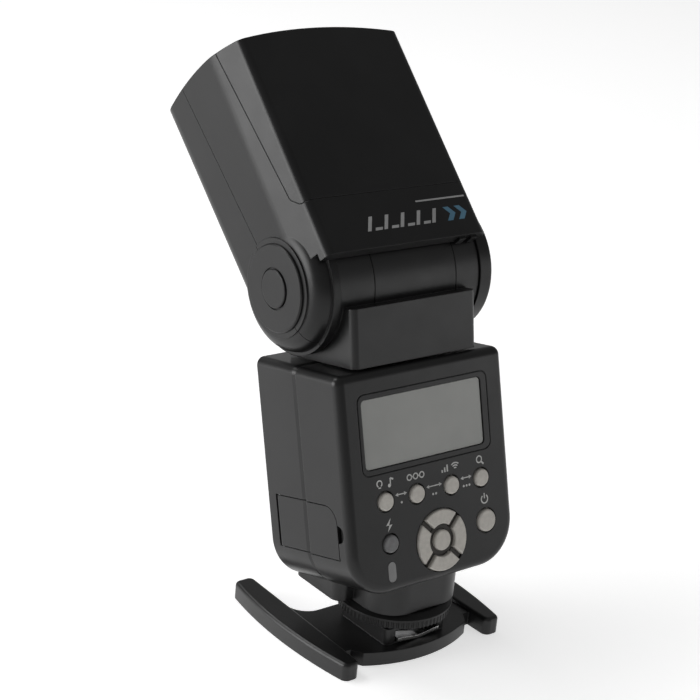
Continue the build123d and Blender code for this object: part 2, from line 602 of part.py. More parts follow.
# ---------------------------------------------------------------- battery bay and power parts
cell_spots = [(CELL_Y + back * CELL_PITCH / 2, CELL_Z + down * CELL_PITCH / 2)
              for back in (-1, 1) for down in (-1, 1)]
with BuildPart() as battery_box:
    with BuildSketch(side_plane(BOX_X0)):
        with Locations((CELL_Y, CELL_Z)):
            Rectangle(BOX_IN + 2 * BOX_WALL, BOX_IN + 2 * BOX_WALL)
    extrude(amount=BOX_X1 - BOX_X0)
    with BuildSketch(side_plane(BOX_X0 + 1.2)):
        with Locations((CELL_Y, CELL_Z)):
            RectangleRounded(BOX_IN, BOX_IN, 3)
    extrude(amount=BOX_X1 - BOX_X0, mode=Mode.SUBTRACT)
finish(battery_box, "battery_box", BODY)

CELL_X0 = BOX_X0 + 2.4
with BuildPart() as battery_cells:
    with BuildSketch(side_plane(CELL_X0)):
        with Locations(*cell_spots):
            Circle(CELL_R)
    extrude(amount=CELL_L - 1.2)
    with BuildSketch(side_plane(CELL_X0 + CELL_L - 1.2)):
        with Locations(*cell_spots):
            Circle(2.7)
    extrude(amount=1.2)
finish(battery_cells, "battery_cells", BODY)

with BuildPart() as inner_contacts:
    with BuildSketch(side_plane(BOX_X0 + 1.2)):
        with Locations(*cell_spots):
            RectangleRounded(9, 9, 1.5)
    extrude(amount=0.6)
    with BuildSketch(side_plane(BOX_X0 + 1.8)):
        with Locations(*cell_spots):
            Circle(3.5)
            Circle(2.9, mode=Mode.SUBTRACT)
    extrude(amount=0.6)
finish(inner_contacts, "inner_contacts", BODY)

with BuildPart() as door_contacts:
    with BuildSketch(side_plane(CASE_HW - CASE_STEP - COVER_T)):
        with Locations(*[(CELL_Y, CELL_Z + sz * CELL_PITCH / 2) for sz in (-1, 1)]):
            RectangleRounded(24, 9, 1.5)
    extrude(amount=-0.6)
finish(door_contacts, "door_contacts", BODY)

CAP_Y, CAP_Z, CAPACITOR_R, CAPACITOR_L = 31.0, 103.6, 8.8, 50.0
with BuildPart() as capacitor:
    with BuildSketch(side_plane(-CAPACITOR_L / 2)):
        with Locations((CAP_Y, CAP_Z)):
            Circle(CAPACITOR_R)
    extrude(amount=CAPACITOR_L)
    fillet(capacitor.edges(), 0.8)
finish(capacitor, "flash_capacitor", BODY)

with BuildPart() as power_board:
    with BuildSketch(depth_plane(12.0)):
        with Locations((0, 51.5)):
            Rectangle(38, 15)
    extrude(amount=-1.6)
    with BuildSketch(depth_plane(13.6)):
        with Locations((-8, 52)):
            Rectangle(14, 12)
    extrude(amount=-12)
    with BuildSketch(depth_plane(13.6)):
        with Locations((9, 52)):
            Circle(4.5)
    extrude(amount=-9)
finish(power_board, "power_board", BODY)

# ================================================================ neck (neck frame)
with BuildPart() as neck_solid:
    with BuildSketch(Plane.XY.offset(BLOCK_Z0)):
        with Locations((0, (BLOCK_FRONT - BLOCK_REAR) / 2)):
            RectangleRounded(2 * BLOCK_HW, BLOCK_FRONT + BLOCK_REAR, 2.2)
    extrude(amount=BLOCK_Z1 - BLOCK_Z0)
    with BuildSketch(side_plane(BARREL_X0)):
        with Locations((0, HINGE_H)):
            Circle(BARREL_R)
    extrude(amount=BARREL_X1 - BARREL_X0)
    with BuildSketch(Plane.XY.offset(BLOCK_Z0 - 30)):
        Rectangle(120, 120)
    extrude(amount=30, mode=Mode.SUBTRACT)

with BuildPart() as neck_inside:
    with BuildSketch(Plane.XY.offset(BLOCK_Z0 + 2)):
        with Locations((0, (BLOCK_FRONT - BLOCK_REAR) / 2)):
            Rectangle(2 * BLOCK_HW - 4, BLOCK_FRONT + BLOCK_REAR - 4)
    extrude(amount=BLOCK_Z1 - BLOCK_Z0 - 4)
    with BuildSketch(side_plane(-BLOCK_HW + 2)):
        with Locations((0, HINGE_H)):
            Circle(BARREL_R - 2)
    extrude(amount=2 * BLOCK_HW - 4)
    with BuildSketch(Plane.XY.offset(BLOCK_Z0 + 2 - 30)):
        Rectangle(120, 120)
    extrude(amount=30, mode=Mode.SUBTRACT)


def neck_half(keep):
    """Front or rear moulding of the neck, hollow, with shaft bores and the barrel's seam grooves."""
    with BuildPart() as half:
        add(neck_solid.part)
        add(neck_inside.part, mode=Mode.SUBTRACT)
        with BuildSketch(Plane.XY.offset(-5)):
            Circle(SWIVEL_R)
        extrude(amount=12, mode=Mode.SUBTRACT)
        with BuildSketch(side_plane(-60)):
            with Locations((0, HINGE_H)):
                Circle(HINGE_R)
        extrude(amount=120, mode=Mode.SUBTRACT)
        for seam_x in BARREL_SEAMS:
            with BuildSketch(side_plane(seam_x)):
                with Locations((0, HINGE_H)):
                    Circle(BARREL_R + 1)
                    Circle(BARREL_R - 0.3, mode=Mode.SUBTRACT)
                with Locations((0, BLOCK_Z1 - 20)):
                    Rectangle(80, 40, mode=Mode.SUBTRACT)
            extrude(amount=0.35, mode=Mode.SUBTRACT)
        split(bisect_by=Plane.XZ, keep=keep)
    return half


finish(neck_half(Keep.TOP), "neck_rear_cover", NECK)
finish(neck_half(Keep.BOTTOM), "neck_front_cover", NECK)

with BuildPart() as swivel_shaft:
    with BuildSketch(Plane.XY.offset(-4.0)):
        Circle(SWIVEL_R)
    extrude(amount=4.0 + BLOCK_Z0 + 2)
    with BuildSketch(Plane.XY.offset(BLOCK_Z0 + 2)):
        Circle(SWIVEL_R + 3)
        with Locations((0, BLOCK_FRONT + 8)):
            Rectangle(60, 20.2, mode=Mode.SUBTRACT)
    extrude(amount=1.5)
    with BuildSketch(Plane.XY.offset(-4.0)):
        Circle(SWIVEL_R - 2.5)
    extrude(amount=12, mode=Mode.SUBTRACT)
finish(swivel_shaft, "swivel_shaft", NECK)

with BuildPart() as swivel_clip:
    with BuildSketch(Plane.XY.offset(-3.4)):
        Circle(SWIVEL_R + 2.6)
        Circle(SWIVEL_R, mode=Mode.SUBTRACT)
    extrude(amount=1.2)
finish(swivel_clip, "swivel_clip", NECK)

with BuildPart() as hinge_shaft:
    with BuildSketch(side_plane(-HINGE_REACH)):
        with Locations((0, HINGE_H)):
            Circle(HINGE_R)
            Circle(HINGE_R - 1.2, mode=Mode.SUBTRACT)
    extrude(amount=2 * HINGE_REACH)
finish(hinge_shaft, "hinge_shaft", NECK)


# ================================================================ head (head frame)
def head_section(z, inset):
    """Cross-section of the head at height z: flat top, slanted shoulders, rounded underside."""
    under = UNDER_Y0 + UNDER_SLOPE * z - inset
    top, side = TOP_HW - inset * 0.8, SIDE_HW - inset
    with BuildSketch(Plane.XY.offset(z)) as section:
        with BuildLine():
            Polyline((-top, TOP_Y + inset), (top, TOP_Y + inset), (side, SHOULDER_Y), (side, under),
                     (-side, under), (-side, SHOULDER_Y), close=True)
        make_face()
        fillet(section.vertices().group_by(Axis.Y)[0], TOP_ROUND - inset)
        shoulders = [v for v in section.vertices() if abs(v.Y - SHOULDER_Y) < 0.5]
        fillet(shoulders, SHOULDER_ROUND - inset)
        fillet(section.vertices().group_by(Axis.Y)[-1], EAR_ROUND - inset)
    return section.sketch


def bulge(drop):
    """Everything ahead of the doubly curved front surface, lowered by drop."""
    with BuildPart() as cap:
        with BuildSketch(side_plane(0)):
            with Locations((BULGE_Y, HEAD_L)):
                Rectangle(120, 60)
            with Locations((BULGE_Y, HEAD_L - drop - BULGE_TALL)):
                Circle(BULGE_TALL, mode=Mode.SUBTRACT)
        revolve(axis=Axis((0, 0, HEAD_L - drop - BULGE_WIDE), (0, 1, 0)), revolution_arc=360)
    return cap.part


def core(drop):
    """Everything behind the front surface lowered by drop, down to the middle of the head."""
    with BuildPart() as block:
        with BuildSketch(Plane.XY.offset(60)):
            Rectangle(100, 100)
        extrude(amount=HEAD_L - 50)
        add(bulge(drop), mode=Mode.SUBTRACT)
    return block.part


ear_profiles = ((-1, BARREL_X0 - EAR_GAP, -SIDE_HW, EAR_BAND_R, EAR_ROUND),
                (1, BARREL_X1 + EAR_GAP, RIGHT_EAR_X, EAR_R, RIGHT_EAR_ROUND))
CAVITY_Z, UNDER_START = 24.5, 13.5
with BuildPart() as head_solid:
    with BuildSketch(Plane.XY):
        add(head_section(0, 0))
    with BuildSketch(Plane.XY.offset(HEAD_L + 2)):
        add(head_section(HEAD_L + 2, 0))
    loft()
    with BuildSketch(Plane.XY):
        add(head_section(0, 0))
        with Locations((0, 20 - EAR_R)):
            Rectangle(120, 40, mode=Mode.SUBTRACT)
    extrude(amount=-REAR_LIP)
    for sign, inner_x, outer_x, band_r, ease in ear_profiles:
        with BuildSketch(Plane.XY) as ear:
            with Locations(((inner_x + outer_x) / 2, band_r / 2)):
                Rectangle(abs(outer_x - inner_x), band_r)
            outer = ear.vertices().sort_by(Axis.X)[-2:] if sign > 0 else ear.vertices().sort_by(Axis.X)[:2]
            fillet(outer.sort_by(Axis.Y)[-1], ease)
            with Locations((inner_x + sign * EAR_RIM / 2, EAR_R / 2)):
                Rectangle(EAR_RIM, EAR_R)
            with Locations((sign * (STEP_X + 2), STEP_R / 2)):
                Rectangle(4, STEP_R, mode=Mode.SUBTRACT)
            with Locations((sign * STEP_X / 2 + inner_x / 2, STEP_R / 2)):
                Rectangle(abs(sign * STEP_X - inner_x), STEP_R)
        revolve(axis=Axis.X)
    with BuildSketch(side_plane(ear_profiles[0][1])):
        Circle(BARREL_R + BARREL_AIR)
        with Locations((22.5, UNDER_START - 20)):
            Rectangle(15, 40)
    extrude(amount=ear_profiles[1][1] - ear_profiles[0][1], mode=Mode.SUBTRACT)
    add(bulge(0), mode=Mode.SUBTRACT)

with BuildPart() as head_inside:
    with BuildSketch(Plane.XY.offset(CAVITY_Z)):
        add(head_section(CAVITY_Z, SKIN))
    with BuildSketch(Plane.XY.offset(HEAD_L + 2)):
        add(head_section(HEAD_L + 2, SKIN))
    loft()


def cover_shape(grow):
    """Side outline of the removable top cover, across the whole head."""
    with BuildPart() as shape:
        with BuildSketch(side_plane(-60)) as outline:
            with BuildLine():
                Polyline((-60, 17.5), (-25.0, 17.5), (-21.7, 21.0), (-15.9, 82), (-15.0, 99), (-60, 99),
                         close=True)
            make_face()
            fillet(outline.vertices().group_by(Axis.X)[1:3], 2.5)
            if grow:
                offset(amount=grow)
        extrude(amount=120)
    return shape.part


PART_SLOPE, SEAM = 0.1, 0.2
part_normal = Vector(0, 1, -PART_SLOPE)
lower_plane = Plane(origin=(0, SEAM / 2, 0), x_dir=(1, 0, 0), z_dir=part_normal)
upper_plane = Plane(origin=(0, -SEAM / 2, 0), x_dir=(1, 0, 0), z_dir=part_normal)


def bore_ears():
    """Bores in both ears for the hinge shaft, and through holes for the boss spigots."""
    with BuildPart() as bores:
        with BuildSketch(side_plane(-HINGE_REACH - 0.5)):
            Circle(HINGE_R + RUN)
        extrude(amount=2 * HINGE_REACH + 1.0)
        with BuildSketch(side_plane(-60)):
            Circle(SPIGOT_R)
        extrude(amount=120)
    return bores.part


with BuildPart() as head_upper_shell:
    add(head_solid.part)
    add(head_inside.part, mode=Mode.SUBTRACT)
    add(bore_ears(), mode=Mode.SUBTRACT)
    split(bisect_by=upper_plane, keep=Keep.BOTTOM)
    add(cover_shape(SEAM), mode=Mode.SUBTRACT)
finish(head_upper_shell, "head_upper_shell", HEAD)

with BuildPart() as head_lower_shell:
    add(head_solid.part)
    add(head_inside.part, mode=Mode.SUBTRACT)
    add(bore_ears(), mode=Mode.SUBTRACT)
    split(bisect_by=lower_plane, keep=Keep.TOP)
finish(head_lower_shell, "head_lower_shell", HEAD)

with BuildPart() as head_top_cover:
    add(head_solid.part)
    add(head_inside.part, mode=Mode.SUBTRACT)
    add(cover_shape(0), mode=Mode.INTERSECT)
finish(head_top_cover, "head_top_cover", HEAD)

with BuildPart() as hinge_bosses:
    for sign in (-1, 1):
        with BuildSketch(side_plane(sign * STEP_X)):
            Circle(BOSS_R)
        extrude(amount=sign * BOSS_T)
        chamfer(hinge_bosses.faces().sort_by(Axis.X)[-1 if sign > 0 else 0].edges(), 0.4)
        with BuildSketch(side_plane(sign * (STEP_X + BOSS_T))):
            Circle(CAP_R + 0.5)
        extrude(amount=-sign * 0.5, mode=Mode.SUBTRACT)
        with BuildSketch(side_plane(sign * STEP_X)):
            Circle(SPIGOT_R)
        extrude(amount=-sign * 6)
finish(hinge_bosses, "hinge_bosses", HEAD)

with BuildPart() as hinge_caps:
    for sign in (-1, 1):
        with BuildSketch(side_plane(sign * (STEP_X + BOSS_T - 0.5))):
            Circle(CAP_R)
        extrude(amount=sign * (CAP_T + 0.5))
        fillet(hinge_caps.faces().sort_by(Axis.X)[-1 if sign > 0 else 0].edges(), 0.4)
finish(hinge_caps, "hinge_caps", HEAD)

# ---------------------------------------------------------------- lens, flags and frame
SLOT_Y0, SLOT_Y1 = CARD_Y - CARD_T / 2 - 0.35, PANEL_Y + PANEL_T / 2 + 0.35
with BuildPart() as lens_tool:
    with BuildSketch(Plane.XY.offset(62)):
        with Locations((0, LENS_Y)):
            RectangleRounded(LENS_W, LENS_H, 3)
    extrude(amount=40)
    add(core(LENS_SET + LENS_T), mode=Mode.SUBTRACT)

with BuildPart() as lens_frame:
    add(head_inside.part)
    add(bulge(0.5), mode=Mode.SUBTRACT)
    add(core(5.0), mode=Mode.SUBTRACT)
    with BuildSketch(Plane.XY.offset(20)):
        Rectangle(120, 120)
    extrude(amount=41, mode=Mode.SUBTRACT)
    with BuildSketch(Plane.XY.offset(62)):
        with Locations((0, LENS_Y)):
            RectangleRounded(LENS_W - 4, LENS_H - 4, 2)
        with Locations((0, (SLOT_Y0 + SLOT_Y1) / 2)):
            Rectangle(FLAG_W + 0.8, SLOT_Y1 - SLOT_Y0)
    extrude(amount=40, mode=Mode.SUBTRACT)
    add(lens_tool.part, mode=Mode.SUBTRACT)
finish(lens_frame, "lens_frame", HEAD)

with BuildPart() as fresnel_lens:
    add(lens_tool.part)
    add(bulge(LENS_SET), mode=Mode.SUBTRACT)
finish(fresnel_lens, "fresnel_lens", HEAD)

FLAG_END = 80.0
with BuildPart() as bounce_card:
    with BuildSketch(Plane.XY.offset(FLAG_END - 44)):
        with Locations((0, CARD_Y)):
            Rectangle(FLAG_W, CARD_T)
    extrude(amount=44)
finish(bounce_card, "bounce_card", HEAD)

with BuildPart() as wide_panel:
    with BuildSketch(Plane.XY.offset(FLAG_END - 42)):
        with Locations((0, PANEL_Y)):
            Rectangle(FLAG_W, PANEL_T)
    extrude(amount=42)
    with BuildSketch(Plane.XY.offset(FLAG_END - 1.2)):
        with Locations((0, PANEL_Y)):
            Rectangle(16, PANEL_T)
    extrude(amount=2.4)
finish(wide_panel, "wide_panel", HEAD)

TRAY_Z0, TRAY_Z1 = 30.0, 73.0
with BuildPart() as flag_tray:
    with BuildSketch(Plane.XY.offset(TRAY_Z0)):
        with Locations((0, SLOT_Y1 + 0.5)):
            Rectangle(FLAG_W + 4.8, 1.0)
        with Locations(*[(s * (FLAG_W / 2 + 1.4), (SLOT_Y0 + SLOT_Y1) / 2) for s in (-1, 1)]):
            Rectangle(2.0, SLOT_Y1 - SLOT_Y0)
    extrude(amount=TRAY_Z1 - TRAY_Z0)
finish(flag_tray, "flag_tray", HEAD)

# ---------------------------------------------------------------- zoom optics
with BuildPart() as reflector:
    with BuildSketch(side_plane(-REFLECTOR_HW)):
        with Locations((LENS_Y, REFLECTOR_Z)):
            Circle(REFLECTOR_R)
            Circle(REFLECTOR_R - 0.8, mode=Mode.SUBTRACT)
        with Locations((LENS_Y, REFLECTOR_Z + 22)):
            Rectangle(40, 30, mode=Mode.SUBTRACT)
    extrude(amount=2 * REFLECTOR_HW)
    for end_x in (-REFLECTOR_HW, REFLECTOR_HW - 0.8):
        with BuildSketch(side_plane(end_x)):
            with Locations((LENS_Y, REFLECTOR_Z)):
                Circle(REFLECTOR_R)
                Circle(2.3, mode=Mode.SUBTRACT)
            with Locations((LENS_Y, REFLECTOR_Z + 22)):
                Rectangle(40, 30, mode=Mode.SUBTRACT)
        extrude(amount=0.8)
finish(reflector, "reflector", HEAD)

with BuildPart() as flash_tube:
    with BuildSketch(side_plane(-REFLECTOR_HW - 3)):
        with Locations((LENS_Y, REFLECTOR_Z)):
            Circle(2.3)
    extrude(amount=2 * REFLECTOR_HW + 6)
finish(flash_tube, "flash_tube", HEAD)

CARRIAGE_Y = LENS_Y + REFLECTOR_R
with BuildPart() as zoom_carriage:
    with BuildSketch(Plane.XY.offset(REFLECTOR_Z - 8)):
        with Locations(((SCREW_X - REFLECTOR_HW) / 2, CARRIAGE_Y + 0.75)):
            Rectangle(SCREW_X + REFLECTOR_HW, 1.5)
        with Locations((SCREW_X, SCREW_Y)):
            Circle(3.4)
    extrude(amount=14)
    with BuildSketch(Plane.XY.offset(REFLECTOR_Z - 8)):
        with Locations((SCREW_X, SCREW_Y)):
            Circle(SCREW_R + RUN)
    extrude(amount=14, mode=Mode.SUBTRACT)
finish(zoom_carriage, "zoom_carriage", HEAD)

MOTOR_Z, MOTOR_L, SCREW_END = 24.8, 12.0, 77.5
with BuildPart() as zoom_motor:
    with BuildSketch(Plane.XY.offset(MOTOR_Z)):
        with Locations((SCREW_X, SCREW_Y)):
            Circle(4.9)
            Circle(1.0 + RUN, mode=Mode.SUBTRACT)
    extrude(amount=MOTOR_L)
finish(zoom_motor, "zoom_motor", HEAD)

with BuildPart() as zoom_screw:
    with BuildSketch(Plane.XY.offset(MOTOR_Z + 2)):
        with Locations((SCREW_X, SCREW_Y)):
            Circle(1.0)
    extrude(amount=MOTOR_L - 2 + GAP)
    with BuildSketch(Plane.XY.offset(MOTOR_Z + MOTOR_L + GAP)):
        with Locations((SCREW_X, SCREW_Y)):
            Circle(SCREW_R)
    extrude(amount=SCREW_END - MOTOR_Z - MOTOR_L - GAP)
finish(zoom_screw, "zoom_screw", HEAD)
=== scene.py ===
"""Looks of the speedlight flash and its table stand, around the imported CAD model.

The camera, lights and materials are in metres; the pieces are drawn in millimetres and scaled by MM.
"""

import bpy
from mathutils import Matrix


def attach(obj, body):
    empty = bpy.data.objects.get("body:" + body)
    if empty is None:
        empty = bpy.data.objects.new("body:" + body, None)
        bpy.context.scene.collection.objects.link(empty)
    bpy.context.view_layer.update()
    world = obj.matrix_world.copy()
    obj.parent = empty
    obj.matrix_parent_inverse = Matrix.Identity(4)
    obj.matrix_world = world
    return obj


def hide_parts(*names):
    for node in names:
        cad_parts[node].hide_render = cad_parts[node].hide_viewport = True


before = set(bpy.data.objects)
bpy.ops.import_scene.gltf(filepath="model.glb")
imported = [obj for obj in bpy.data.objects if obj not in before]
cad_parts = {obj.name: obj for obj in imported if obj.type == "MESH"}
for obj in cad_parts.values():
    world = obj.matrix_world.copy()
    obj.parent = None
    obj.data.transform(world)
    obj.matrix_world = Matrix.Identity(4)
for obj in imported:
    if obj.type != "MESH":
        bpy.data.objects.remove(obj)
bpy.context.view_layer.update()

from math import cos, pi, radians, sin, sqrt

import bmesh
import bpy
from mathutils import Matrix, Vector

MM = 0.001

# ---------------------------------------------------------------- frames, as in the CAD model
BODY_LEAN, FOOT_AT = 16.0, (0, 29.5, 16.5)
NECK_AT, NECK_TILT = (0, 29.3, 118.1), 5.0
HINGE_H, HEAD_TILT = 26.0, 34.0


def turned(at, lean):
    """Frame at a point in millimetres, leaned about X by degrees."""
    return Matrix.Translation(Vector(at) * MM) @ Matrix.Rotation(radians(lean), 4, "X")


BODY = turned((0, 0, 0), -BODY_LEAN) @ turned((0, -FOOT_AT[1], -FOOT_AT[2]), 0)
NECK = BODY @ turned(NECK_AT, NECK_TILT)
HEAD = NECK @ turned((0, 0, HINGE_H), -HEAD_TILT)

# ---------------------------------------------------------------- camera, floor and light
CAMERA_AT = Vector((-0.36157, -0.40151, 0.30603))
CAMERA_TO = Vector((-0.01073, 0.02399, 0.10030))
CAMERA_ROLL, CAMERA_LENS = 5.458, 88.89
CAMERA_NEAR, CAMERA_FAR = 0.01, 40.0
WHITE = (1.0, 1.0, 1.0, 1.0)
FLOOR_SIZE, FLOOR_GLOW, WORLD_LEVEL = 12.0, 0.58, 0.26
FLOOR_GREY, FLOOR_ROUGHNESS = (0.86, 0.86, 0.86), 0.6
SOFTBOXES = (                       # name, place, aim, width, height, watts, spread in degrees
    ("key_left", (-1.2, 0.62, 0.30), (0.0, 0.05, 0.15), 1.1, 0.9, 3.4, 70.0),
    ("fill_right", (1.0, -1.0, 0.25), (0.0, 0.0, 0.1), 0.5, 0.4, 1.0, 180.0),
    ("top_back", (-0.5, 1.2, 1.6), (0.0, 0.0, 0.1), 1.4, 0.8, 14.0, 180.0),
)


def add_camera():
    """Camera at the photograph's viewing angle."""
    camera = bpy.data.objects.new("camera", bpy.data.cameras.new("camera"))
    bpy.context.scene.collection.objects.link(camera)
    look = (CAMERA_TO - CAMERA_AT).to_track_quat("-Z", "Y").to_matrix().to_4x4()
    roll = Matrix.Rotation(radians(CAMERA_ROLL), 4, "Z")
    camera.matrix_world = Matrix.Translation(CAMERA_AT) @ look @ roll
    camera.data.lens = CAMERA_LENS
    camera.data.clip_start, camera.data.clip_end = CAMERA_NEAR, CAMERA_FAR
    bpy.context.scene.camera = camera


def add_softbox(name, at, to, width, height, power, beam):
    """Rectangular soft light at a point, aimed at another, its beam limited to an angle in degrees."""
    light = bpy.data.lights.new(name, "AREA")
    light.shape = "RECTANGLE"
    light.size, light.size_y, light.energy, light.spread = width, height, power, radians(beam)
    box = bpy.data.objects.new(name, light)
    bpy.context.scene.collection.objects.link(box)
    aim = (Vector(to) - Vector(at)).to_track_quat("-Z", "Y").to_matrix().to_4x4()
    box.matrix_world = Matrix.Translation(Vector(at)) @ aim


def add_studio():
    """Pale floor, even surroundings and soft lights, brightest on the left."""
    mesh = bpy.data.meshes.new("floor")
    half = FLOOR_SIZE / 2
    corners = [(-half, -half, 0), (half, -half, 0), (half, half, 0), (-half, half, 0)]
    mesh.from_pydata(corners, [], [(0, 1, 2, 3)])
    floor = bpy.data.objects.new("floor", mesh)
    bpy.context.scene.collection.objects.link(floor)
    paint, _, shader = plain_material("floor_paint", FLOOR_GREY, FLOOR_ROUGHNESS)
    shader.inputs["Emission Color"].default_value = WHITE
    shader.inputs["Emission Strength"].default_value = FLOOR_GLOW
    mesh.materials.append(paint)

    world = bpy.data.worlds.new("studio")
    bpy.context.scene.world = world
    world.use_nodes = True
    background = world.node_tree.nodes["Background"]
    background.inputs["Color"].default_value = WHITE
    background.inputs["Strength"].default_value = WORLD_LEVEL
    for softbox in SOFTBOXES:
        add_softbox(*softbox)
    bpy.context.scene.view_settings.view_transform = "Standard"


# ---------------------------------------------------------------- materials
BEVEL_SAMPLES = 4
TONE_SCALE, GLOSS_SCALE = 45.0, 120.0     # cells per metre of a moulding's slow changes
GRAIN_DEPTH, FINE_DEPTH, GLASS_DEPTH = 0.00006, 0.00003, 0.00002     # of bumps
CLEAR_SHARE, CLEAR_IOR = 0.92, 1.49       # light let through by clear plastic, and how it bends
EDGE, FINE_EDGE = 0.0003, 0.0002          # radii that soften a moulding's and a fine part's edges
RAMP_START, RAMP_END = 0.35, 0.65         # share of the noise that a change of tone runs over


def plain_material(name, colour, roughness):
    """Material with one Principled shader; returns the material, its node tree and the shader."""
    material = bpy.data.materials.new(name)
    material.use_nodes = True
    tree = material.node_tree
    shader = tree.nodes["Principled BSDF"]
    shader.inputs["Base Color"].default_value = (*colour, 1.0)
    shader.inputs["Roughness"].default_value = roughness
    return material, tree, shader


def noise(tree, scale, detail=2.0, rough=0.5, stretch=None):
    """Noise in the object's own coordinates, in cells per metre, stretched along the axes if asked."""
    coords = tree.nodes.new("ShaderNodeTexCoord")
    texture = tree.nodes.new("ShaderNodeTexNoise")
    texture.inputs["Scale"].default_value = scale
    texture.inputs["Detail"].default_value = detail
    texture.inputs["Roughness"].default_value = rough
    if stretch is None:
        tree.links.new(coords.outputs["Object"], texture.inputs["Vector"])
    else:
        mapping = tree.nodes.new("ShaderNodeMapping")
        mapping.inputs["Scale"].default_value = stretch
        tree.links.new(coords.outputs["Object"], mapping.inputs["Vector"])
        tree.links.new(mapping.outputs["Vector"], texture.inputs["Vector"])
    return texture.outputs["Fac"]


def spread(tree, source, low, high, start=0.3, end=0.7):
    """Map a texture value from start..end onto low..high."""
    ranges = tree.nodes.new("ShaderNodeMapRange")
    ranges.inputs["From Min"].default_value = start
    ranges.inputs["From Max"].default_value = end
    ranges.inputs["To Min"].default_value = low
    ranges.inputs["To Max"].default_value = high
    tree.links.new(source, ranges.inputs["Value"])
    return ranges.outputs["Result"]


def tint(tree, shader, source, dark, light):
    """Base colour that varies between two tones with a texture value."""
    ramp = tree.nodes.new("ShaderNodeValToRGB")
    low, high = ramp.color_ramp.elements
    low.position, high.position = RAMP_START, RAMP_END
    low.color, high.color = (*dark, 1.0), (*light, 1.0)
    tree.links.new(source, ramp.inputs["Fac"])
    tree.links.new(ramp.outputs["Color"], shader.inputs["Base Color"])


def bump(tree, shader, source, depth, strength, edge):
    """Bump of a depth in metres, over edges that are eased by a radius in metres."""
    node = tree.nodes.new("ShaderNodeBump")
    node.inputs["Strength"].default_value = strength
    node.inputs["Distance"].default_value = depth
    tree.links.new(source, node.inputs["Height"])
    if edge:
        bevel = tree.nodes.new("ShaderNodeBevel")
        bevel.samples = BEVEL_SAMPLES
        bevel.inputs["Radius"].default_value = edge
        tree.links.new(bevel.outputs["Normal"], node.inputs["Normal"])
    tree.links.new(node.outputs["Normal"], shader.inputs["Normal"])


def moulded(name, dark, light, rough_low, rough_high, grain, strength, edge=EDGE, gloss=0.5):
    """Spark-eroded moulded plastic: grain in cells per metre, slow tone changes and uneven gloss."""
    material, tree, shader = plain_material(name, light, rough_high)
    shader.inputs["Specular IOR Level"].default_value = gloss
    tint(tree, shader, noise(tree, TONE_SCALE, 3.0), dark, light)
    patches = noise(tree, GLOSS_SCALE, 4.0, 0.6)
    tree.links.new(spread(tree, patches, rough_low, rough_high), shader.inputs["Roughness"])
    bump(tree, shader, noise(tree, grain, 2.0, 0.6), GRAIN_DEPTH, strength, edge)
    return material


def rubber(name, dark, light):
    """Silicone rubber of the keys: soft sheen, faint mottling and a very fine tooth."""
    material, tree, shader = plain_material(name, light, 0.55)
    tint(tree, shader, noise(tree, 700.0, 3.0), dark, light)
    tree.links.new(spread(tree, noise(tree, 900.0, 2.0), 0.48, 0.62), shader.inputs["Roughness"])
    bump(tree, shader, noise(tree, 5200.0, 2.0), FINE_DEPTH, 0.25, FINE_EDGE)
    shader.inputs["Sheen Weight"].default_value = 0.15
    return material


def metal(name, dark, light, rough_low, rough_high, stretch=(1.0, 1.0, 1.0), grain=2600.0):
    """Metal with fine machining or brushing marks, drawn out along one axis by stretch."""
    material, tree, shader = plain_material(name, light, rough_low)
    shader.inputs["Metallic"].default_value = 1.0
    tint(tree, shader, noise(tree, 160.0, 4.0), dark, light)
    marks = noise(tree, grain, 3.0, 0.6, stretch)
    tree.links.new(spread(tree, marks, rough_low, rough_high), shader.inputs["Roughness"])
    bump(tree, shader, marks, FINE_DEPTH, 0.3, FINE_EDGE)
    return material


def clear_plastic(name, colour, roughness, wave, depth):
    """Clear moulded plastic with a shallow waviness."""
    material, tree, shader = plain_material(name, colour, roughness)
    shader.inputs["Transmission Weight"].default_value = CLEAR_SHARE
    shader.inputs["IOR"].default_value = CLEAR_IOR
    rough = spread(tree, noise(tree, 300.0, 2.0), roughness, roughness + 0.06)
    tree.links.new(rough, shader.inputs["Roughness"])
    bump(tree, shader, noise(tree, wave, 2.0), depth, 0.4, 0.0)
    return material


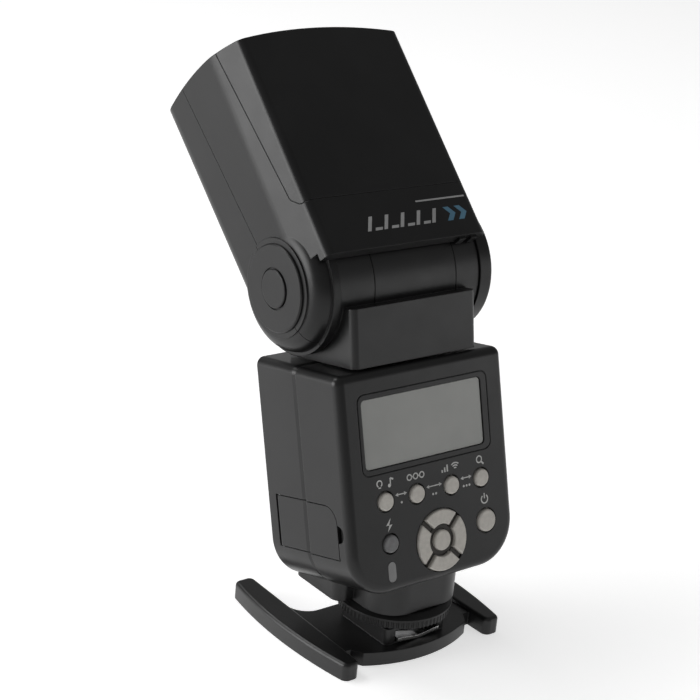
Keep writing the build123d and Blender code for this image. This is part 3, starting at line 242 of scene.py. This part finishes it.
def make_materials():
    """Every finish on the object, by name."""
    finishes = {
        "case": moulded("case_black", (0.0062, 0.0062, 0.0064), (0.0088, 0.0088, 0.0090),
                        0.28, 0.33, 2600.0, 0.22, 0.0004, 0.32),
        "head": moulded("head_black", (0.0058, 0.0058, 0.0060), (0.0082, 0.0082, 0.0084),
                        0.31, 0.355, 3000.0, 0.18, 0.0004, 0.30),
        "neck": moulded("neck_black", (0.0066, 0.0066, 0.0068), (0.0094, 0.0094, 0.0096),
                        0.30, 0.38, 2400.0, 0.24, 0.0004, 0.38),
        "stand": moulded("stand_black", (0.0070, 0.0070, 0.0072), (0.0100, 0.0100, 0.0102),
                         0.28, 0.38, 1900.0, 0.26, 0.0005, 0.42),
        "wheel": moulded("wheel_black", (0.0065, 0.0065, 0.0065), (0.0095, 0.0095, 0.0095),
                         0.34, 0.44, 2200.0, 0.28, 0.0002, 0.30),
        "inside": moulded("inner_black", (0.0100, 0.0100, 0.0105), (0.0150, 0.0150, 0.0155),
                          0.50, 0.62, 2000.0, 0.3),
        "key": rubber("key_grey", (0.42, 0.40, 0.365), (0.48, 0.458, 0.42)),
        "key_dark": rubber("key_dark", (0.110, 0.110, 0.112), (0.145, 0.145, 0.147)),
        "print": moulded("print_white", (0.40, 0.40, 0.39), (0.50, 0.50, 0.49),
                         0.5, 0.6, 3000.0, 0.1, 0.0),
        "mark_grey": moulded("mark_grey", (0.30, 0.30, 0.30), (0.38, 0.38, 0.38),
                             0.45, 0.55, 3000.0, 0.1, 0.0),
        "mark_blue": moulded("mark_blue", (0.055, 0.150, 0.230), (0.085, 0.200, 0.290),
                             0.45, 0.55, 3000.0, 0.1, 0.0),
        # painted shade: dark brown for the sheet that stands in for the shade down in the pad's slits
        "painted_slit_shade": moulded("painted_slit_shade_brown", (0.016, 0.013, 0.010), (0.026, 0.021, 0.016),
                       0.55, 0.65, 2400.0, 0.2, 0.0),
        "card": moulded("card_white", (0.70, 0.70, 0.68), (0.78, 0.78, 0.76), 0.42, 0.52, 1500.0, 0.12),
        "cell": moulded("cell_sleeve", (0.13, 0.14, 0.16), (0.17, 0.18, 0.20), 0.28, 0.36, 900.0, 0.10),
        "sleeve": moulded("capacitor_sleeve", (0.012, 0.012, 0.030), (0.020, 0.020, 0.045),
                          0.30, 0.40, 900.0, 0.15),
        "board": moulded("board_green", (0.008, 0.060, 0.022), (0.014, 0.090, 0.036),
                         0.34, 0.46, 1400.0, 0.20),
        "steel": metal("steel", (0.40, 0.40, 0.41), (0.56, 0.56, 0.57), 0.26, 0.42, (0.05, 1.0, 1.0)),
        "spring": metal("spring_steel", (0.62, 0.62, 0.61), (0.74, 0.74, 0.73),
                        0.16, 0.26, (1.0, 0.08, 1.0)),
        "brass": metal("brass", (0.50, 0.34, 0.13), (0.66, 0.47, 0.20), 0.22, 0.36, (1.0, 1.0, 0.1)),
        "mirror": metal("reflector_bright", (0.80, 0.80, 0.81), (0.88, 0.88, 0.89),
                        0.06, 0.14, (0.05, 1.0, 1.0), 900.0),
        "lens": clear_plastic("lens_clear", (0.93, 0.95, 0.96), 0.02, 120.0, 0.00004),
        "panel": clear_plastic("panel_clear", (0.93, 0.95, 0.96), 0.05, 900.0, 0.00016),
        "tube": clear_plastic("tube_glass", (0.97, 0.98, 0.98), 0.01, 80.0, 0.00002),
    }
    finishes["lcd"] = lcd_glass()
    finishes["indicator"] = smoked("indicator", (0.095, 0.095, 0.095), (0.125, 0.125, 0.125))
    finishes["sensor"] = smoked("sensor_red", (0.030, 0.002, 0.004), (0.050, 0.004, 0.007))
    finishes["gloss"] = smoked("gloss_black", (0.010, 0.010, 0.010), (0.014, 0.014, 0.014))
    return finishes


def lcd_glass():
    """Display at rest: grey-green polariser under a clear, slightly wavy window."""
    material, tree, shader = plain_material("lcd_grey", (0.165, 0.168, 0.152), 0.34)
    tint(tree, shader, noise(tree, 60.0, 2.0), (0.150, 0.154, 0.142), (0.172, 0.176, 0.162))
    tree.links.new(spread(tree, noise(tree, 1600.0, 2.0), 0.30, 0.40), shader.inputs["Roughness"])
    shader.inputs["Coat Weight"].default_value = 0.6
    shader.inputs["Coat Roughness"].default_value = 0.06
    bump(tree, shader, noise(tree, 90.0, 1.0), FINE_DEPTH, 0.2, FINE_EDGE)
    return material


def smoked(name, dark, light):
    """Deep-coloured glossy plastic under a clear coat."""
    material, tree, shader = plain_material(name, light, 0.22)
    tint(tree, shader, noise(tree, 80.0, 2.0), dark, light)
    tree.links.new(spread(tree, noise(tree, 1200.0, 2.0), 0.16, 0.26), shader.inputs["Roughness"])
    shader.inputs["Coat Weight"].default_value = 0.7
    shader.inputs["Coat Roughness"].default_value = 0.04
    bump(tree, shader, noise(tree, 150.0, 1.0), GLASS_DEPTH, 0.2, FINE_EDGE)
    return material


NODE_FINISH = {
    "case": ("rear_case", "front_case", "port_cover", "battery_door"),
    "head": ("head_upper_shell", "head_lower_shell", "head_top_cover", "hinge_bosses", "hinge_caps"),
    "neck": ("neck_rear_cover", "neck_front_cover", "pedestal"),
    "stand": ("stand_base",),
    "wheel": ("lock_wheel",),
    "inside": ("port_panel", "battery_box", "flag_tray", "lens_frame"),
    "key": ("key_sound", "key_mode", "key_group", "key_zoom", "key_power", "key_ok",
            "pad_up", "pad_left", "pad_down", "pad_right"),
    "key_dark": ("key_pilot",),
    "lcd": ("lcd_window", "lcd_module"),
    "indicator": ("ready_light",),
    "sensor": ("sensor_window",),
    "gloss": ("power_socket", "swivel_shaft", "zoom_carriage"),
    "card": ("bounce_card",),
    "panel": ("wide_panel",),
    "lens": ("fresnel_lens",),
    "tube": ("flash_tube",),
    "mirror": ("reflector",),
    "board": ("control_board", "sensor_board", "power_board"),
    "cell": ("battery_cells",),
    "sleeve": ("flash_capacitor",),
    "brass": ("stand_thread_insert",),
    "spring": ("stand_leaf_spring", "centre_contact", "inner_contacts", "door_contacts"),
    "steel": ("shoe_foot", "clamp_plate", "case_screws", "cover_pins", "sync_socket", "swivel_clip",
              "hinge_shaft", "zoom_motor", "zoom_screw"),
}


def paint_nodes():
    """Give every carried-over CAD node its finish."""
    for finish, nodes in NODE_FINISH.items():
        for node in nodes:
            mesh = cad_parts[node].data
            mesh.materials.clear()
            mesh.materials.append(FINISHES[finish])


# ---------------------------------------------------------------- mesh helpers
FULL_TURN = 360
RING_STEPS, DISC_STEPS = 28, 20


def new_piece(name, mesh_builder, finish, body, place):
    """Object from a bmesh in millimetres, placed in a frame, painted and riding on a body."""
    mesh = bpy.data.meshes.new(name)
    mesh_builder.transform(place @ Matrix.Scale(MM, 4))
    bmesh.ops.recalc_face_normals(mesh_builder, faces=mesh_builder.faces)
    mesh_builder.to_mesh(mesh)
    mesh_builder.free()
    mesh.materials.append(FINISHES[finish])
    piece = bpy.data.objects.new(name, mesh)
    bpy.context.scene.collection.objects.link(piece)
    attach(piece, body)
    return piece


def extruded(builder, outline, near, far, lift):
    """Closed prism over an outline, between two depths; lift maps (u, v, depth) to a point."""
    low = [builder.verts.new(lift(u, v, near)) for u, v in outline]
    high = [builder.verts.new(lift(u, v, far)) for u, v in outline]
    count = len(outline)
    for i in range(count):
        j = (i + 1) % count
        builder.faces.new((low[i], low[j], high[j], high[i]))
    builder.faces.new(low[::-1])
    builder.faces.new(high)


def ring_strip(builder, centre, radius, width, start, end, near, far, lift, steps=RING_STEPS):
    """Part of a flat ring of a mean radius and width, between two angles in degrees."""
    whole = abs(end - start) >= FULL_TURN
    count = steps if whole else steps + 1
    loops = []
    for r, depth in ((radius - width / 2, near), (radius + width / 2, near),
                     (radius + width / 2, far), (radius - width / 2, far)):
        loops.append([builder.verts.new(lift(centre[0] + r * cos(a), centre[1] + r * sin(a), depth))
                      for a in (radians(start + (end - start) * i / steps) for i in range(count))])
    last = count if whole else count - 1
    for k in range(4):
        one, two = loops[k], loops[(k + 1) % 4]
        for i in range(last):
            j = (i + 1) % count
            builder.faces.new((one[i], one[j], two[j], two[i]))
    if not whole:
        for i in (0, count - 1):
            builder.faces.new([loop[i] for loop in loops])


def bar_outline(start, end, width):
    """Outline of a straight stroke between two points."""
    (x0, y0), (x1, y1) = start, end
    length = sqrt((x1 - x0) ** 2 + (y1 - y0) ** 2)
    nx, ny = -(y1 - y0) / length * width / 2, (x1 - x0) / length * width / 2
    return [(x0 + nx, y0 + ny), (x0 - nx, y0 - ny), (x1 - nx, y1 - ny), (x1 + nx, y1 + ny)]


def disc_outline(centre, radius, steps=DISC_STEPS):
    """Round outline."""
    turns = [2 * pi * i / steps for i in range(steps)]
    return [(centre[0] + radius * cos(turn), centre[1] + radius * sin(turn)) for turn in turns]


# ---------------------------------------------------------------- sizes taken over from the CAD model
# X and Z on the rear panel are in the body's frame, HEAD_ and LENS_ sizes in the head's.
ROW_Z, ROW_XS, ROW_R = 71.7, (-20.0, -6.55, 8.75, 22.2), 3.05
PAD_X, PAD_Z, PAD_R, PAD_IN, PAD_SLIT, OK_R = 2.6, 53.9, 10.6, 5.6, 2.0, 3.6
POWER_X, POWER_Z, POWER_R = 23.1, 56.4, 3.9
PILOT_X, PILOT_Z = -19.3, 57.3
CASE_D, SCREWS = 46.5, ((-30.5, 111.0), (30.5, 111.0), (-23.5, 48.0), (23.5, 48.0))
SCREW_HEAD_R, SCREW_HEAD_T, SCREW_SUNK, SCREW_EASE = 2.2, 1.2, 0.4, 0.35
SHANK_R, SHANK_L = 1.0, 29.0
HEAD_TOP_Y, HEAD_L, REAR_LIP = -28.0, 86.3, 2.6
BULGE_TALL, BULGE_WIDE, BULGE_Y = 110.0, 188.0, 3.0
LENS_Y, LENS_DEEP, LENS_CLEAR_HW, LENS_CLEAR_HH = 1.0, 2.8, 28.2, 16.2

# ---------------------------------------------------------------- printed pictograms
PRINT_DEPTH, PRINT_OUT = 0.06, 0.03
STROKE, BOLD, POWER_STROKE, ARROW_STROKE = 0.42, 0.6, 0.46, 0.36
ICONS_UP, POWER_ICON_UP, BOLT_UP = 6.1, 3.6, 6.4       # icon centres above their keys
ARROW_UP, DOTS_DOWN, ARROW_AIR, ARROW_NECK = 1.3, 1.5, 1.2, 0.8
ARROW_TIP, ARROW_HALF, DOT_PITCH, DOT_R = 1.2, 0.65, 1.3, 0.4


def on_panel(x, z, depth):
    """Point on the rear panel: x across, z up, depth out of the face."""
    return Vector((x, -depth, z))


class Print:
    """Flat printed shapes on one face, gathered in one mesh."""

    def __init__(self, lift):
        self.builder, self.lift = bmesh.new(), lift

    def shape(self, outline):
        extruded(self.builder, outline, -PRINT_DEPTH, PRINT_OUT, self.lift)

    def stroke(self, start, end, width=STROKE):
        self.shape(bar_outline(start, end, width))

    def arc(self, centre, radius, start=0, end=FULL_TURN, width=STROKE):
        depths = (-PRINT_DEPTH, PRINT_OUT)
        ring_strip(self.builder, centre, radius, width, start, end, *depths, self.lift)

    def dot(self, centre, radius):
        self.shape(disc_outline(centre, radius))


def print_row_icons(ink, above):
    """One pictogram over each of the four round keys: lamp and note, rings, signal, magnifier."""
    lamp, note = ROW_XS[0] - 2.0, ROW_XS[0] + 1.9
    ink.arc((lamp, above + 0.3), 1.05, -60, 240)
    ink.stroke((lamp - 0.5, above - 1.1), (lamp + 0.5, above - 1.1))
    ink.stroke((note + 0.7, above + 1.5), (note + 0.7, above - 1.0))
    ink.stroke((note + 0.7, above + 1.4), (note + 2.0, above + 0.9), BOLD)
    ink.dot((note + 0.2, above - 1.0), 0.62)
    for i in (-1, 0, 1):
        ink.arc((ROW_XS[1] + 2.7 * i, above), 0.95)
    for i in (-1, 1):
        ink.stroke((ROW_XS[1] + 1.35 * i - 0.3, above), (ROW_XS[1] + 1.35 * i + 0.3, above))
    for i in range(3):
        ink.arc((ROW_XS[2] + 2.2, above - 1.2), 0.75 + 0.85 * i, 50, 130)
        step = ROW_XS[2] - 3.6 + 1.15 * i
        ink.stroke((step, above - 1.2), (step, above - 0.3 + 0.75 * i), BOLD)
    ink.arc((ROW_XS[3] - 0.3, above + 0.3), 1.15)
    ink.stroke((ROW_XS[3] + 0.55, above - 0.55), (ROW_XS[3] + 1.6, above - 1.6), BOLD)


def print_row_arrows(ink):
    """Double arrow between each two neighbouring keys, with a plain mark of dots under it."""
    line, dots = ROW_Z + ARROW_UP, ROW_Z - DOTS_DOWN
    for number, (left, right) in enumerate(zip(ROW_XS, ROW_XS[1:])):
        start, end = left + ROW_R + ARROW_AIR, right - ROW_R - ARROW_AIR
        ink.stroke((start + ARROW_NECK, line), (end - ARROW_NECK, line), ARROW_STROKE)
        for tip, way in ((start, 1), (end, -1)):
            back = tip + way * ARROW_TIP
            ink.shape([(tip, line), (back, line + ARROW_HALF), (back, line - ARROW_HALF)])
        middle = (start + end) / 2
        for i in range(number + 1):
            ink.dot((middle + DOT_PITCH * (i - number / 2), dots), DOT_R)


def print_panel():
    """Small pictograms beside the keys on the rear panel."""
    ink = Print(on_panel)
    print_row_icons(ink, ROW_Z + ICONS_UP)
    print_row_arrows(ink)
    top = POWER_Z + POWER_R + POWER_ICON_UP
    ink.arc((POWER_X, top), 1.45, 125, 415, POWER_STROKE)
    ink.stroke((POWER_X, top + 0.2), (POWER_X, top + 2.1), POWER_STROKE)
    x, z = PILOT_X, PILOT_Z + BOLT_UP
    ink.shape([(x + 0.7, z + 2.1), (x - 1.3, z - 0.15), (x - 0.1, z - 0.15)])
    ink.shape([(x - 0.7, z - 2.3), (x + 1.3, z - 0.05), (x + 0.1, z - 0.05)])
    new_piece("panel_pictograms", ink.builder, "print", "flash", BODY)


def on_head(x, z, depth):
    """Point on the head's flat top face: x across, z towards the lens, depth out of the face."""
    return Vector((x, HEAD_TOP_Y - depth, z))


MARK_X, MARK_Z, MARK_H, MARK_PITCH = -15.0, 3.4, 5.2, 6.9
BARS, BAR_W, BAR_SLANT = 5, 1.5, 2.6
LINK_AT, LINK_W, LINK_H, LINK_SLANT = 3.2, 3.0, 1.0, 0.5
RULE_START, RULE_END, RULE_UP = 9.4, 31.0, 3.4
CHEVRON_X, CHEVRON_PITCH, CHEVRON_W, CHEVRON_REACH = 19.6, 5.0, 2.4, 2.2


def slanted(x, z, width, height, slant):
    """Outline of a bar that stands on its lower edge and leans by a slant."""
    return [(x, z), (x + width, z), (x + width + slant, z + height), (x + slant, z + height)]


def print_head():
    """Generic mark near the head's rear edge: slanted light bars, a thin line, and two blue chevrons."""
    grey, blue = Print(on_head), Print(on_head)
    for i in range(BARS):
        x = MARK_X + MARK_PITCH * i
        grey.shape(slanted(x, MARK_Z, BAR_W, MARK_H, BAR_SLANT))
        if i < BARS - 1:
            grey.shape(slanted(x + LINK_AT, MARK_Z, LINK_W, LINK_H, LINK_SLANT))
    rule = MARK_Z + MARK_H + RULE_UP
    grey.stroke((RULE_START, rule), (RULE_END, rule), BOLD)
    for i in range(2):
        x, middle = CHEVRON_X + CHEVRON_PITCH * i, MARK_Z + MARK_H / 2
        for side in (-1, 1):
            tip = middle + side * MARK_H / 2
            blue.shape(slanted(x, tip, CHEVRON_W, middle - tip, CHEVRON_REACH)[::side])
    new_piece("head_mark_grey", grey.builder, "mark_grey", "head", HEAD)
    new_piece("head_mark_blue", blue.builder, "mark_blue", "head", HEAD)


# ---------------------------------------------------------------- small solid details
# the SURROUND_ sizes place the dark sheet of painted shade in the pad's slits
SURROUND_TOP, SURROUND_FLOOR, SURROUND_AIR, SURROUND_STEPS = -0.35, -1.5, 0.25, 48
SLIT_START, SLIT_SHORT = 0.1, 0.2
PRISM_PITCH, PRISM_DEPTH, PRISM_OFF, PRISM_STEPS = 0.9, 0.45, 0.02, 16
PRISM_HALF = 0.48                   # half of a prism's width, as a share of the pitch
SCREW_STEPS = 36
CROSS_ARM, CROSS_REACH, CROSS_DEPTH = 0.35, 1.2, 0.8       # half width, reach and depth of a recess
TAB_XS, TAB_W, TAB_Y0, TAB_Y1 = (22.4, 27.6), 2.8, -26.6, -23.2
TAB_SUNK, TAB_OUT = 0.1, 0.9


def add_pad_slit_shade():
    """Dark cross and ring of painted shade that fill the slits between the pad's keys, below their tops,
    standing in for the shade down in the slits.
    """
    builder = bmesh.new()
    depths = (SURROUND_FLOOR, SURROUND_TOP)
    width = PAD_IN - OK_R - 2 * SURROUND_AIR
    ring_strip(builder, (PAD_X, PAD_Z), (OK_R + PAD_IN) / 2, width, 0, FULL_TURN, *depths, on_panel,
               SURROUND_STEPS)
    near, far = PAD_IN + SLIT_START, PAD_R - SLIT_SHORT
    for quarter in range(4):
        turn = radians(45 + 90 * quarter)
        start = (PAD_X + near * cos(turn), PAD_Z + near * sin(turn))
        end = (PAD_X + far * cos(turn), PAD_Z + far * sin(turn))
        extruded(builder, bar_outline(start, end, PAD_SLIT - 2 * SURROUND_AIR), *depths, on_panel)
    # the sheet of painted shade, in the dark brown finish
    new_piece("pad_slit_shade", builder, "painted_slit_shade", "flash", BODY)


def lens_back(x, y):
    """Height of the lens's inner face, which is curved both ways."""
    tall = BULGE_WIDE - BULGE_TALL + sqrt(BULGE_TALL ** 2 - (y - BULGE_Y) ** 2)
    return HEAD_L - LENS_DEEP - BULGE_WIDE + sqrt(tall ** 2 - x ** 2)


def add_lens_ribs():
    """Fine prisms across the lens's inner face."""
    builder = bmesh.new()
    section = ((-1, PRISM_OFF), (1, PRISM_OFF), (1, PRISM_DEPTH))
    for row in range(int(2 * LENS_CLEAR_HH / PRISM_PITCH)):
        y = LENS_Y - LENS_CLEAR_HH + PRISM_PITCH * (row + 0.5)
        loops = []
        for i in range(PRISM_STEPS + 1):
            x = LENS_CLEAR_HW * (2 * i / PRISM_STEPS - 1)
            loops.append([builder.verts.new((x, y + side * PRISM_PITCH * PRISM_HALF, lens_back(x, y) - drop))
                          for side, drop in section])
        for one, two in zip(loops, loops[1:]):
            for k in range(3):
                builder.faces.new((one[k], one[(k + 1) % 3], two[(k + 1) % 3], two[k]))
        builder.faces.new(loops[0])
        builder.faces.new(loops[-1])
    new_piece("lens_ribs", builder, "lens", "head", HEAD)


def add_screws():
    """Case screws with chamfered heads and cross recesses, in place of the plain ones."""
    builder = bmesh.new()
    cross = [(CROSS_ARM, CROSS_REACH), (CROSS_ARM, CROSS_ARM), (CROSS_REACH, CROSS_ARM)]
    cross += [(v, -u) for u, v in cross]
    cross += [(-u, -v) for u, v in cross]
    top = CASE_D - SCREW_SUNK
    under = top - SCREW_HEAD_T
    levels = ((SHANK_R, under - SHANK_L), (SHANK_R, under), (SCREW_HEAD_R, under),
              (SCREW_HEAD_R, top - SCREW_EASE), (SCREW_HEAD_R - SCREW_EASE, top))
    for cx, cz in SCREWS:
        loops = [[builder.verts.new((cx + u, y, cz + v)) for u, v in disc_outline((0, 0), r, SCREW_STEPS)]
                 for r, y in levels]
        mouth, floor = [[builder.verts.new((cx + u, y, cz + v)) for u, v in cross]
                        for y in (top, top - CROSS_DEPTH)]
        for one, two in [*zip(loops, loops[1:]), (mouth, floor)]:
            for i in range(len(one)):
                j = (i + 1) % len(one)
                builder.faces.new((one[i], one[j], two[j], two[i]))
        builder.faces.new(loops[0])
        builder.faces.new(floor)
        rim = [builder.edges.get((loop[i - 1], loop[i]))
               for loop in (loops[-1], mouth) for i in range(len(loop))]
        bmesh.ops.triangle_fill(builder, use_beauty=True, edges=rim)
    screws = new_piece("screws_with_recesses", builder, "steel", "flash", BODY)
    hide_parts("case_screws")


def under_head(x, y, depth):
    """Point under the head's rear face: x across, y back to front, depth out of the face."""
    return Vector((x, y, -depth))


def add_lip_tabs():
    """Two small tabs under the head's rear edge, beside the right ear."""
    builder = bmesh.new()
    for x in TAB_XS:
        outline = [(x, TAB_Y0), (x + TAB_W, TAB_Y0), (x + TAB_W, TAB_Y1), (x, TAB_Y1)]
        extruded(builder, outline, REAR_LIP - TAB_SUNK, REAR_LIP + TAB_OUT, under_head)
    new_piece("lip_tabs", builder, "head", "head", HEAD)


# ---------------------------------------------------------------- build
add_camera()
add_studio()
FINISHES = make_materials()
paint_nodes()
print_panel()
print_head()
add_pad_slit_shade()
add_lens_ribs()
add_screws()
add_lip_tabs()
